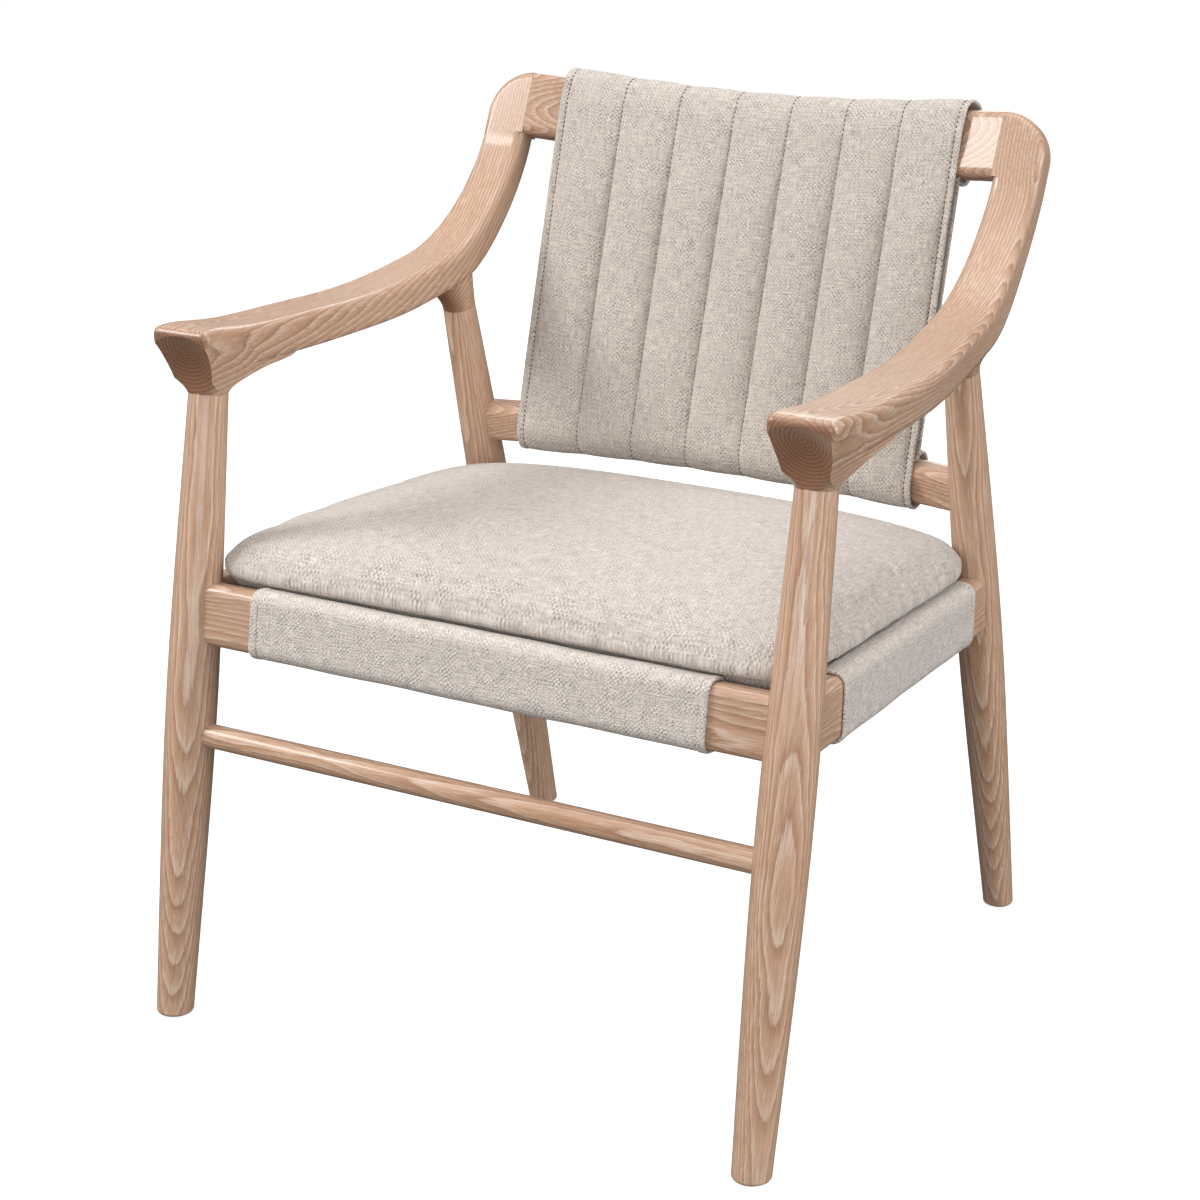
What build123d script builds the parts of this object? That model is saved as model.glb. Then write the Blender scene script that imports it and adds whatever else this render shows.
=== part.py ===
from build123d import *
from math import cos, radians, sin, sqrt
import os

# Wooden lounge armchair with a slung back and an upholstered seat.
# Millimetres, +X to the sitter's left as seen from the front, -Y to the front, +Z up.
# The origin is on the floor, under the middle of the chair.
# "_right" pieces are on the +X side; each "_left" piece is the mirror image.

os.makedirs("parts", exist_ok=True)

# ---------------------------------------------------------------- driving dimensions
# Leg axes: a foot point on the floor and a head point where the leg meets the arm.
front_foot = Vector(297, -299, 0)
front_head = Vector(297, -208.5, 565)
rear_foot = Vector(265.5, 302, 0)
rear_head = Vector(265.5, 149, 578)

# Radius of each turned leg at fractions of its length.
leg_stations = (0.0, 0.26, 0.53, 0.8, 1.0)
front_leg_radii = (16.8, 20.9, 23.2, 20.7, 17.7)
rear_leg_radii = (14.6, 18.4, 21.1, 19.0, 16.0)
foot_edge_radius = 3
tenon_radius = 11
tenon_length = 20
glide_radius = 11
glide_thickness = 1.5
glide_pin_radius = 2
glide_pin_length = 12

# Rails: rectangular with rounded long edges, centred on the leg axes.
rail_thickness = 26
rail_edge_radius = 9
seat_rail_height = 56
front_rail_z = 372
rear_rail_z = 345.5
lower_rail_height = 40
lower_rail_z = 457
lower_rail_bow = 19
stretcher_radius = 11
stretcher_tenon_radius = 8
stretcher_tenon_reach = 289
stretcher_z = 262

# Crest rail: reclined and bowed backwards, with its front face through crest_face.
crest_recline = 24
crest_face = Vector(0, 252, 765)
crest_height = 62
crest_thickness = 27.5
crest_edge_radius = 8
crest_bow = 25
crest_half_length = 248

# Arms: sections from the front to the crest rail, each given by its upper and lower point in
# the side view (Y, Z) and by its inner and outer face (X).
arm_sections = [
    ((-245, 628.4), (-245, 587), (267.3, 329.4)),
    ((-184, 624), (-184, 586.4), (266.5, 326)),
    ((-114, 620.5), (-114, 586.2), (263, 322.5)),
    ((-44, 619), (-44, 586.3), (259.3, 318.5)),
    ((16, 620.5), (14.5, 588), (255.8, 312.5)),
    ((66, 626.3), (63, 592.2), (252.5, 306.8)),
    ((106, 632.8), (110, 599.6), (249.5, 303.2)),
    ((136, 641), (148, 608), (248, 300.6)),
    ((166, 657), (182.5, 627), (248, 297.6)),
    ((201, 685.5), (220, 660.5), (248, 294.6)),
    ((226, 713.6), (249, 697), (248, 293.6)),
]
arm_tip_inner = 248
arm_tip_outer = 293.5
arm_edge_radius = 8
arm_lead = 8
arm_brow_radius = 7.5
arm_corner_radius = 44

# Horn under the front of each arm, as level sections: height, half width and depth (Y) of the front
# corners, depth of the front, outer and inner half width and depth of the rear corners, depth of
# the rear. It starts below the joint and is cut level with the leg's head.
horn_sections = [
    (556, (17.7, -210.4), -227.8, (17.7, 17.7, -209.4), -192),
    (565, (17.7, -209), -226.4, (17.7, 17.7, -208), -190.6),
    (570, (18.6, -216), -228, (19, 19, -200), -183),
    (576, (20.2, -224), -230, (22.3, 23.2, -184), -168),
    (582, (22, -231), -233, (25, 28.5, -163), -145),
    (588, (24, -236), -237, (24.5, 30, -120), -96),
    (597, (26.5, -240), -241, (23.5, 29, -120), -96),
    (606, (28.5, -243), -244, (23.5, 29, -120), -96),
]
# Drawn-in flanks of the horn: height and half width, outside and inside, and the corner radius
# at the front, where the straight part begins and ends, and the radius of the rear flare.
flank_outer = [(560, 17.9), (572, 18.9), (580, 20.7), (588, 23), (597, 25.8), (607, 28.8), (620, 34),
               (640, 50)]
flank_inner = [(560, 17.9), (572, 18.9), (580, 20.7), (588, 22.8), (597, 25.2), (607, 27.8), (620, 32),
               (640, 48)]
flank_corner_radius = 20
flank_straight_y = (-226, -205)
flank_flare_radius = 110
dish_centre = Vector(297, -304, 572)
dish_radius = 78

# Boss over each rear leg: height above the joint, shift outwards and radius.
boss_sections = [(0, 0, 16), (12, 1.8, 18), (25, 6, 22.6), (45, 7.5, 24.5)]

# Fits and fasteners.
clearance = 0.1
dowel_radius = 4
dowel_length = 44
dowel_in_leg = 9
seat_dowel_spread = 14
lower_dowel_spread = 9
crest_dowel_spread = 15
crest_dowel_start = 223
crest_dowel_end = 270
block_height = 30
front_block_z = 370
rear_block_z = 347
screw_radius = 2.3
screw_head_radius = 4.5
screw_head_height = 3
screw_length = 50

# Rubber webbing, clipped into grooves in the seat rails.
strap_width = 50
strap_thickness = 2
cross_strap_y = (-109, -34, 41, 116)
long_strap_x = (-135, -45, 45, 135)
strap_drop = 16
clip_depth = 10
clip_thickness = 4.4
clip_in_rail = 8

# Soft parts.
fabric = 2.6
cloth_gap = 0.2
front_sleeve_half = 227
side_sleeve_y = (-168, 155)
rear_sleeve_half = 215
sleeve_opening = 44
sling_half_width = 212
sling_thickness = 10
panel_lap = 10
seat_front_z = 402.5
seat_front_y = -235.6
seat_slope = 0.0566
cushion_thickness = 46
cushion_front = (282, -232)
cushion_side = (281, -23)
cushion_rear = (264, 186)
cushion_front_corner = 30
cushion_rear_corner = 45
cushion_top_radius = 20
cushion_bottom_radius = 4
cover_thickness = 1.5

# ---------------------------------------------------------------- derived directions
east = Vector(1, 0, 0)
front_leg_up = (front_head - front_foot).normalized()
rear_leg_up = (rear_head - rear_foot).normalized()
crest_up = Vector(0, sin(radians(crest_recline)), cos(radians(crest_recline)))
crest_back = Vector(0, cos(radians(crest_recline)), -sin(radians(crest_recline)))
crest_centre = crest_face + crest_back * (crest_thickness / 2)
seat_normal = Vector(0, seat_slope, 1).normalized()


# ---------------------------------------------------------------- helpers
def axis_point(foot, head, z):
    """Point of a leg's axis at height z."""
    return foot + (head - foot) * (z / head.Z)


def mirrored(point):
    """The same point on the other side of the chair."""
    return Vector(-point.X, point.Y, point.Z)


def seat_height(y):
    """Height of the plane the cushion rests on."""
    return seat_front_z - seat_slope * (y - seat_front_y)


def save(part, name):
    """Label one finished piece and write its STEP file."""
    part.label = name
    export_step(part, f"parts/{name}.step")


def save_pair(part, name):
    """Write a right-hand piece and its mirror image."""
    save(part, f"{name}_right")
    save(mirror(part, about=Plane.YZ), f"{name}_left")


def rod(start, end, radius):
    """Plain round pin between two points."""
    with BuildPart() as pin:
        with BuildSketch(Plane(origin=start, z_dir=end - start)):
            Circle(radius)
        extrude(amount=(end - start).length)
    return pin.part


def box(centre, x_dir, z_dir, sizes):
    """Block centred on a point, with its X and Z edges along two directions."""
    with BuildPart() as block:
        with BuildSketch(Plane(origin=centre, x_dir=x_dir, z_dir=z_dir)):
            Rectangle(sizes[0], sizes[1])
        extrude(amount=sizes[2] / 2, both=True)
    return block.part


def leg_body(foot, head, radii, gap=0.0):
    """Turned outline of a leg, running on below the floor, grown by a gap."""
    length = (head - foot).length
    along = (head - foot).normalized()
    below = 20
    outline = [(radius + gap, station * length) for station, radius in zip(leg_stations, radii)]
    with BuildPart() as turned:
        with BuildSketch(Plane(origin=foot, x_dir=east, z_dir=east.cross(along))):
            with BuildLine():
                Polyline((0, length), (0, -below), (outline[0][0], -below), outline[0])
                Spline(*outline)
                Line(outline[-1], (0, length))
            make_face()
        revolve(axis=Axis(foot, along))
    return turned.part


def seat_rail(start, end, up):
    """Straight seat rail between two points with rounded long edges."""
    with BuildPart() as rail:
        with BuildSketch(Plane(origin=start, x_dir=up, z_dir=end - start)):
            RectangleRounded(seat_rail_height, rail_thickness, rail_edge_radius)
        extrude(amount=(end - start).length)
    return rail.part


def bowed_rail(middle, up, half_length, bow, height, thickness, radius):
    """Rail bowed to the rear across its face; the middle point is level with its ends."""
    half = thickness / 2
    with BuildPart() as rail:
        with BuildSketch(Plane(origin=middle, x_dir=east, z_dir=up)):
            with BuildLine():
                ThreePointArc((-half_length, -half), (0, bow - half), (half_length, -half))
                Line((half_length, -half), (half_length, half))
                ThreePointArc((half_length, half), (0, bow + half), (-half_length, half))
                Line((-half_length, half), (-half_length, -half))
            make_face()
        extrude(amount=height / 2, both=True)
        long_edges = rail.edges().filter_by(GeomType.CIRCLE)
        fillet(long_edges, radius=radius)
    return rail.part


# ---------------------------------------------------------------- shared bodies and pins
front_leg_gap = leg_body(front_foot, front_head, front_leg_radii, clearance)
rear_leg_gap = leg_body(rear_foot, rear_head, rear_leg_radii, clearance)

front_joint = axis_point(front_foot, front_head, front_rail_z)
rear_joint = axis_point(rear_foot, rear_head, rear_rail_z)
lower_joint = axis_point(rear_foot, rear_head, lower_rail_z)
stretcher_joint = axis_point(front_foot, front_head, stretcher_z)
side_along = (rear_joint - front_joint).normalized()
side_up = (Vector(0, 0, 1) - side_along * side_along.Z).normalized()


def dowel_pair(joint, direction, up, spread, grow=0.0):
    """Two dowels that start inside a leg and run along a rail."""
    pins = []
    for side in (-1, 1):
        centre = joint + up * (side * spread)
        start = centre + direction * (dowel_in_leg - grow)
        end = centre + direction * (dowel_in_leg + dowel_length + grow)
        pins.append(rod(start, end, dowel_radius + grow))
    return pins


def crest_pair(grow=0.0):
    """Two dowels between the crest rail and the right arm."""
    pins = []
    for side in (-1, 1):
        centre = crest_centre + crest_up * (side * crest_dowel_spread)
        start = centre + east * (crest_dowel_start - grow)
        end = centre + east * (crest_dowel_end + grow)
        pins.append(rod(start, end, dowel_radius + grow))
    return pins


def both_sides(parts):
    """Parts together with their mirror images."""
    return parts + [mirror(part, about=Plane.YZ) for part in parts]


leg_gaps = both_sides([front_leg_gap, rear_leg_gap])
west = east * -1
front_pins = dowel_pair(front_joint, west, front_leg_up, seat_dowel_spread)
front_holes = dowel_pair(front_joint, west, front_leg_up, seat_dowel_spread, clearance)
rear_pins = dowel_pair(rear_joint, west, rear_leg_up, seat_dowel_spread)
rear_holes = dowel_pair(rear_joint, west, rear_leg_up, seat_dowel_spread, clearance)
lower_pins = dowel_pair(lower_joint, west, rear_leg_up, lower_dowel_spread)
lower_holes = dowel_pair(lower_joint, west, rear_leg_up, lower_dowel_spread, clearance)
side_pins = dowel_pair(front_joint, side_along, side_up, seat_dowel_spread)
side_pins += dowel_pair(rear_joint, side_along * -1, side_up, seat_dowel_spread)
side_holes = dowel_pair(front_joint, side_along, side_up, seat_dowel_spread, clearance)
side_holes += dowel_pair(rear_joint, side_along * -1, side_up, seat_dowel_spread, clearance)


# ---------------------------------------------------------------- legs and glides
def glide(foot, grow=0.0):
    """Plastic glide under a foot, with its pin."""
    centre = Vector(foot.X, foot.Y, 0)
    with BuildPart() as pad:
        add(rod(centre, centre + Vector(0, 0, glide_thickness), glide_radius))
        add(rod(centre, centre + Vector(0, 0, glide_pin_length + grow), glide_pin_radius + grow))
    return pad.part


def leg(foot, head, radii, holes):
    """Turned leg with a tenon at its head, cut level above its glide and bored for the joints."""
    along = (head - foot).normalized()
    with BuildPart() as turned:
        add(leg_body(foot, head, radii))
        with BuildSketch(Plane.XY.offset(glide_thickness)):
            Rectangle(800, 800)
        extrude(amount=-60, mode=Mode.SUBTRACT)
        sole = turned.edges().group_by(Axis.Z)[0]
        fillet(sole, radius=foot_edge_radius)
        add(rod(head - along * foot_edge_radius, head + along * tenon_length, tenon_radius))
        add(glide(foot, clearance), mode=Mode.SUBTRACT)
        for hole in holes:
            add(hole, mode=Mode.SUBTRACT)
    return turned.part


stretcher_tenon_end = Vector(stretcher_tenon_reach + clearance, stretcher_joint.Y, stretcher_joint.Z)
stretcher_inside = Vector(0, stretcher_joint.Y, stretcher_joint.Z)
stretcher_socket = rod(stretcher_inside, stretcher_tenon_end, stretcher_tenon_radius + clearance)
front_leg_holes = front_holes + side_holes + [stretcher_socket]
rear_leg_holes = rear_holes + side_holes + lower_holes
save_pair(leg(front_foot, front_head, front_leg_radii, front_leg_holes), "front_leg")
save_pair(leg(rear_foot, rear_head, rear_leg_radii, rear_leg_holes), "rear_leg")

with BuildPart() as glides:
    for corner in (front_foot, rear_foot, mirrored(front_foot), mirrored(rear_foot)):
        add(glide(corner))
save(glides.part, "foot_glides")


# ---------------------------------------------------------------- arms
def arm_rest():
    """Armrest and its rise to the crest rail, with rounded long edges."""
    low = crest_face - crest_up * (crest_height / 2)
    faces = (arm_tip_inner, arm_tip_outer)
    stations = list(arm_sections)
    for drop in (arm_lead, 0):
        upper = low - crest_up * drop
        lower = upper + crest_back * crest_thickness
        stations.append(((upper.Y, upper.Z), (lower.Y, lower.Z), faces))
    with BuildPart() as rest:
        for upper, lower, (inner, outer) in stations:
            top = Vector((inner + outer) / 2, *upper)
            bottom = Vector((inner + outer) / 2, *lower)
            up = (top - bottom).normalized()
            with BuildSketch(Plane(origin=(top + bottom) * 0.5, x_dir=east, z_dir=east.cross(up))):
                RectangleRounded(outer - inner, (top - bottom).length, arm_edge_radius)
        loft()
        front_end = rest.faces().sort_by(Axis.Y)[0]
        fillet(front_end.edges(), radius=arm_brow_radius)
    return rest.part


def arm_tip():
    """End of the arm beside the crest rail, rounded off at its outer upper corner."""
    half_height = crest_height / 2
    with BuildPart() as tip:
        with BuildSketch(Plane(origin=crest_centre, x_dir=east, z_dir=crest_back * -1)) as face:
            with BuildLine():
                Polyline((arm_tip_inner, -half_height), (arm_tip_outer, -half_height),
                         (arm_tip_outer, half_height), (arm_tip_inner, half_height), close=True)
            make_face()
            fillet(face.vertices().group_by(Axis.X)[-1].sort_by(Axis.Y)[-1], radius=arm_corner_radius)
        extrude(amount=crest_thickness / 2, both=True)
        rims = [edge for edge in tip.edges() if is_tip_rim(edge)]
        fillet(rims, radius=arm_edge_radius)
    return tip.part


def is_tip_rim(edge):
    """True for the outer and upper edges of the arm's tip, front and rear."""
    middle = edge.position_at(0.5) - crest_centre
    on_face = abs(abs(middle.dot(crest_back)) - crest_thickness / 2) < 0.01
    return on_face and middle.X > arm_tip_inner + 1 and middle.dot(crest_up) > 1 - crest_height / 2


def horn():
    """Swelling under the front of the arm that carries the front leg."""
    with BuildPart() as swell:
        for height, (half, corner_y), front_y, (outer, inner, rear_corner_y), rear_y in horn_sections:
            with BuildSketch(Plane(origin=(front_head.X, 0, height))):
                with BuildLine():
                    ThreePointArc((-half, corner_y), (0, front_y), (half, corner_y))
                    Line((half, corner_y), (outer, rear_corner_y))
                    rear = ((outer - inner) / 2, rear_y)
                    ThreePointArc((outer, rear_corner_y), rear, (-inner, rear_corner_y))
                    Line((-inner, rear_corner_y), (-half, corner_y))
                make_face()
        loft()
    return swell.part


def boss():
    """Small swelling under the arm that carries the rear leg."""
    with BuildPart() as swell:
        for height, shift, radius in boss_sections:
            centre = rear_head + rear_leg_up * height + east * shift
            with BuildSketch(Plane(origin=centre, x_dir=east, z_dir=rear_leg_up)):
                Circle(radius)
        loft()
    return swell.part


def flank_cutter(flank, side):
    """Sweeps one drawn-in flank of the horn from its front corner to its flare in the arm's side."""
    front_y, rear_y = flank_straight_y
    with BuildPart() as cutter:
        with BuildLine() as path:
            straight = Line((front_head.X, front_y, 0), (front_head.X, rear_y, 0))
            JernArc(start=straight @ 1, tangent=(0, 1), radius=flank_flare_radius, arc_size=-40 * side)
            JernArc(start=straight @ 0, tangent=(0, -1), radius=flank_corner_radius, arc_size=-80 * side)
        run = path.wires()[0]
        heading = run % 0
        outwards = side if heading.Y > 0 else -side
        with BuildSketch(Plane(origin=run @ 0, x_dir=(0, 0, 1), z_dir=heading)):
            with BuildLine():
                curve = [(height, outwards * half) for height, half in flank]
                Spline(*curve)
                Polyline(curve[-1], (curve[-1][0], outwards * 60), (curve[0][0], outwards * 60), curve[0])
            make_face()
        sweep(path=run)
    return cutter.part


def below_joint():
    """Everything of the horn below the shoulder of the front leg."""
    return rod(front_head - front_leg_up * 40, front_head, 40)


def leg_socket(head, up):
    """Bore in the underside of an arm for the tenon of a leg."""
    return rod(head - up * 5, head + up * (tenon_length + 1), tenon_radius + clearance)


with BuildPart() as arm:
    add(arm_rest())
    add(arm_tip())
    add(horn())
    add(boss())
    add(flank_cutter(flank_outer, 1), mode=Mode.SUBTRACT)
    add(flank_cutter(flank_inner, -1), mode=Mode.SUBTRACT)
    with Locations(dish_centre):
        Sphere(dish_radius, mode=Mode.SUBTRACT)
    add(below_joint(), mode=Mode.SUBTRACT)
    add(leg_socket(front_head, front_leg_up), mode=Mode.SUBTRACT)
    add(leg_socket(rear_head, rear_leg_up), mode=Mode.SUBTRACT)
    for hole in crest_pair(clearance):
        add(hole, mode=Mode.SUBTRACT)
save_pair(arm.part, "arm")

# ---------------------------------------------------------------- crest rail and lower back rail
crest_section = (crest_height, crest_thickness, crest_edge_radius)
lower_section = (lower_rail_height, rail_thickness, rail_edge_radius)
with BuildPart() as crest:
    add(bowed_rail(crest_centre, crest_up, crest_half_length - clearance, crest_bow, *crest_section))
    for hole in both_sides(crest_pair(clearance)):
        add(hole, mode=Mode.SUBTRACT)
save(crest.part, "crest_rail")

lower_middle = Vector(0, lower_joint.Y, lower_joint.Z)
with BuildPart() as lower:
    add(bowed_rail(lower_middle, rear_leg_up, rear_head.X, lower_rail_bow, *lower_section))
    for cutter in leg_gaps + both_sides(lower_holes):
        add(cutter, mode=Mode.SUBTRACT)
save(lower.part, "lower_back_rail")


# ---------------------------------------------------------------- webbing and its clips
def strap_ends(centre, direction, half):
    """The two ends of a strap's middle line."""
    return [centre - direction * half, centre + direction * half]


def side_face_x(y):
    """Inner face of the right side rail at a given depth."""
    share = (y - front_joint.Y) / (rear_joint.Y - front_joint.Y)
    return front_joint.X + (rear_joint.X - front_joint.X) * share - rail_thickness / 2


long_direction = Vector(0, 1, -seat_slope).normalized()
long_front_y = front_joint.Y + rail_thickness / 2
long_rear_y = rear_joint.Y - rail_thickness / 2 - 4


def straps():
    """Middle point, direction and half length of each strap, cross straps first."""
    rows = []
    for y in cross_strap_y:
        rows.append((Vector(0, y, seat_height(y) - strap_drop), east, side_face_x(y) + clip_in_rail - 2))
    middle_y = (long_front_y + long_rear_y) / 2
    half = (long_rear_y - long_front_y) / 2 + clip_in_rail - 3
    for x in long_strap_x:
        centre = Vector(x, middle_y, seat_height(middle_y) - strap_drop - strap_thickness - 0.2)
        rows.append((centre, long_direction, half))
    return rows


def clip_boxes(grow=0.0):
    """Outside of every clip, grown by a gap for the grooves."""
    boxes = []
    for centre, direction, half in straps():
        width = strap_width + 2 + 2 * grow
        for side in (-1, 1):
            middle = centre + direction * (side * (half + 1 - clip_depth / 2))
            sizes = (clip_depth + 2 * grow, width, clip_thickness + 2 * grow)
            boxes.append(box(middle, direction, seat_normal, sizes))
    return boxes


def strap_box(centre, direction, half, grow=0.0):
    """One strap."""
    sizes = (2 * half, strap_width + 2 * grow, strap_thickness + 2 * grow)
    return box(centre, direction, seat_normal, sizes)


def strap_layer(group):
    """All the straps that run one way."""
    with BuildPart() as webbing:
        for centre, direction, half in group:
            add(strap_box(centre, direction, half))
    return webbing.part


rows = straps()
cross_count = len(cross_strap_y)
save(strap_layer(rows[:cross_count]), "webbing_cross")
save(strap_layer(rows[cross_count:]), "webbing_long")
with BuildPart() as clips:
    for block in clip_boxes():
        add(block)
    for centre, direction, half in rows:
        add(strap_box(centre, direction, half, clearance), mode=Mode.SUBTRACT)
save(clips.part, "webbing_clips")
grooves = clip_boxes(clearance)


# ---------------------------------------------------------------- corner blocks and their screws
def screw(head, direction, grow=0.0):
    """Countersunk wood screw; the grown version also clears the way in for the driver."""
    tip = head + direction * (screw_length + grow)
    outside = head - direction * (40 if grow else 0)
    with BuildPart() as fastener:
        add(rod(head, tip, screw_radius + grow))
        add(rod(outside, head + direction * (screw_head_height + grow), screw_head_radius + grow))
    return fastener.part


north = Vector(0, 1, 0)
screw_places = [
    (Vector(215, -194, front_block_z), north * -1),
    (Vector(247, -164, front_block_z), east),
    (Vector(187, 166, rear_block_z), north),
    (Vector(226, 134, rear_block_z), east),
]
screw_holes = [screw(head, way, clearance) for head, way in screw_places]
front_block_plan = [(196, -239), (296, -239), (296, -144), (262, -144), (196, -206)]
rear_block_plan = [(170, 211), (268, 211), (268, 116), (228, 116), (170, 176)]

# Plain seat rails, before their ends are shaped; the sleeves and blocks are fitted to them.
side_rail_body = seat_rail(front_joint, rear_joint, side_up)
front_rail_body = seat_rail(mirrored(front_joint), front_joint, front_leg_up)
rear_rail_body = seat_rail(mirrored(rear_joint), rear_joint, rear_leg_up)


def corner_block(plan, middle_z, cross_rail):
    """Glued block across one corner of the seat frame."""
    with BuildPart() as block:
        with BuildSketch(Plane.XY.offset(middle_z - block_height / 2)):
            with BuildLine():
                Polyline(*plan, close=True)
            make_face()
        extrude(amount=block_height)
        for cutter in (front_leg_gap, rear_leg_gap, side_rail_body, cross_rail, *screw_holes):
            add(cutter, mode=Mode.SUBTRACT)
    inside = block.part.solids().sort_by_distance((180, 0, middle_z))[0]
    return Part(inside.wrapped)


save_pair(corner_block(front_block_plan, front_block_z, front_rail_body), "corner_block_front")
save_pair(corner_block(rear_block_plan, rear_block_z, rear_rail_body), "corner_block_rear")
with BuildPart() as screws:
    for fastener in both_sides([screw(head, way) for head, way in screw_places]):
        add(fastener)
save(screws.part, "corner_block_screws")


# ---------------------------------------------------------------- seat rails, stretcher and dowels
def fitted(body, holes):
    """Rail coped to the legs, bored for dowels and screws and grooved for the clips."""
    with BuildPart() as rail:
        add(body)
        for cutter in leg_gaps + holes + grooves + both_sides(screw_holes):
            add(cutter, mode=Mode.SUBTRACT)
    return rail.part


save(fitted(front_rail_body, both_sides(front_holes)), "front_seat_rail")
save(fitted(rear_rail_body, both_sides(rear_holes)), "rear_seat_rail")
save_pair(fitted(side_rail_body, side_holes), "side_seat_rail")

with BuildPart() as stretcher:
    add(rod(mirrored(stretcher_joint), stretcher_joint, stretcher_radius))
    for cutter in leg_gaps:
        add(cutter, mode=Mode.SUBTRACT)
    reach = east * stretcher_tenon_reach
    add(rod(stretcher_inside - reach, stretcher_inside + reach, stretcher_tenon_radius))
save(stretcher.part, "front_stretcher")

dowel_groups = {
    "front_rail_dowels": front_pins,
    "rear_rail_dowels": rear_pins,
    "lower_rail_dowels": lower_pins,
    "side_rail_dowels": side_pins,
    "crest_dowels": crest_pair(),
}
for name, pins in dowel_groups.items():
    with BuildPart() as dowels:
        for pin in both_sides(pins):
            add(pin)
    save(dowels.part, name)


# ---------------------------------------------------------------- cloth sleeves on the seat rails
def sleeve(start, end, up, inwards):
    """Cloth wrapped round a rail and left open along the inner face."""
    height = seat_rail_height + 2 * cloth_gap
    thickness = rail_thickness + 2 * cloth_gap
    radius = rail_edge_radius + cloth_gap
    middle = (start + end) * 0.5 + inwards * rail_thickness
    length = (end - start).length
    with BuildPart() as wrap:
        with BuildSketch(Plane(origin=start, x_dir=up, z_dir=end - start)):
            RectangleRounded(height + 2 * fabric, thickness + 2 * fabric, radius + fabric)
            RectangleRounded(height, thickness, radius, mode=Mode.SUBTRACT)
        extrude(amount=length)
        opening = box(middle, end - start, up, (length + 2, 2 * rail_thickness, sleeve_opening))
        add(opening, mode=Mode.SUBTRACT)
    return wrap.part


def rail_point(y):
    """Point of the right side rail's middle line at a given depth."""
    share = (y - front_joint.Y) / (rear_joint.Y - front_joint.Y)
    return front_joint + (rear_joint - front_joint) * share


front_middle = Vector(0, front_joint.Y, front_joint.Z)
rear_middle = Vector(0, rear_joint.Y, rear_joint.Z)
front_inwards = west.cross(front_leg_up)
rear_inwards = east.cross(rear_leg_up)
side_inwards = side_up.cross(side_along)
front_span = east * front_sleeve_half
rear_span = east * rear_sleeve_half
side_ends = [rail_point(y) for y in side_sleeve_y]
front_sleeve = sleeve(front_middle - front_span, front_middle + front_span, front_leg_up, front_inwards)
rear_sleeve = sleeve(rear_middle - rear_span, rear_middle + rear_span, rear_leg_up, rear_inwards)
save(front_sleeve, "front_rail_sleeve")
save(rear_sleeve, "rear_rail_sleeve")
save_pair(sleeve(*side_ends, side_up, side_inwards), "side_rail_sleeve")


# ---------------------------------------------------------------- seat cushion
def cushion_body(inset):
    """Flat cushion with bowed sides, narrower at the rear, drawn in by an inset on every side."""
    origin = Vector(0, 0, seat_height(0)) + seat_normal * inset
    with BuildPart() as body:
        with BuildSketch(Plane(origin=origin, x_dir=east, z_dir=seat_normal)) as plan:
            with BuildLine():
                right = ThreePointArc(cushion_front, cushion_side, cushion_rear)
                left = mirror(right, about=Plane.YZ)
                Line(right @ 1, left @ 1)
                Line(left @ 0, right @ 0)
            make_face()
            fillet(plan.vertices().sort_by(Axis.Y)[:2], radius=cushion_front_corner)
            fillet(plan.vertices().sort_by(Axis.Y)[-2:], radius=cushion_rear_corner)
            if inset:
                offset(amount=-inset)
        extrude(amount=cushion_thickness - 2 * inset)
        faces = body.faces().sort_by(SortBy.AREA)[-2:].sort_by(Axis.Z)
        fillet(faces[-1].edges(), radius=cushion_top_radius - inset)
        fillet(body.faces().sort_by(Axis.Z)[0].edges(), radius=cushion_bottom_radius - inset)
    return body.part


foam = cushion_body(cover_thickness + cloth_gap)
with BuildPart() as cover:
    add(cushion_body(0))
    add(cushion_body(cover_thickness), mode=Mode.SUBTRACT)
save(cover.part, "seat_cushion_cover")
save(foam, "seat_cushion_foam")

# ---------------------------------------------------------------- slung back
def bow_at(x, half_length, bow):
    """How far a bowed rail stands back from its chord at x."""
    radius = (half_length ** 2 + bow ** 2) / (2 * bow)
    return bow - radius + sqrt(radius ** 2 - x ** 2)


def panel_edge(middle, up, half_length, bow, front):
    """Curved strip where the slung panel meets a rail, as deep as the panel is thick."""
    side = sling_half_width
    near = bow_at(side, half_length, bow) + front
    far = near + sling_thickness
    crown = bow + front
    with BuildSketch(Plane(origin=middle, x_dir=east, z_dir=up)) as strip:
        with BuildLine():
            ThreePointArc((-side, near), (0, crown), (side, near))
            Line((side, near), (side, far))
            ThreePointArc((side, far), (0, crown + sling_thickness), (-side, far))
            Line((-side, far), (-side, near))
        make_face()
    return strip.sketch


def wrapped_rails(grow):
    """The crest rail and the lower back rail, both grown on every side."""
    crest_size = (crest_height + 2 * grow, crest_thickness + 2 * grow, crest_edge_radius + grow)
    lower_size = (lower_rail_height + 2 * grow, rail_thickness + 2 * grow, rail_edge_radius + grow)
    return [bowed_rail(crest_centre, crest_up, crest_half_length, crest_bow, *crest_size),
            bowed_rail(lower_middle, rear_leg_up, rear_head.X, lower_rail_bow, *lower_size)]


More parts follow.
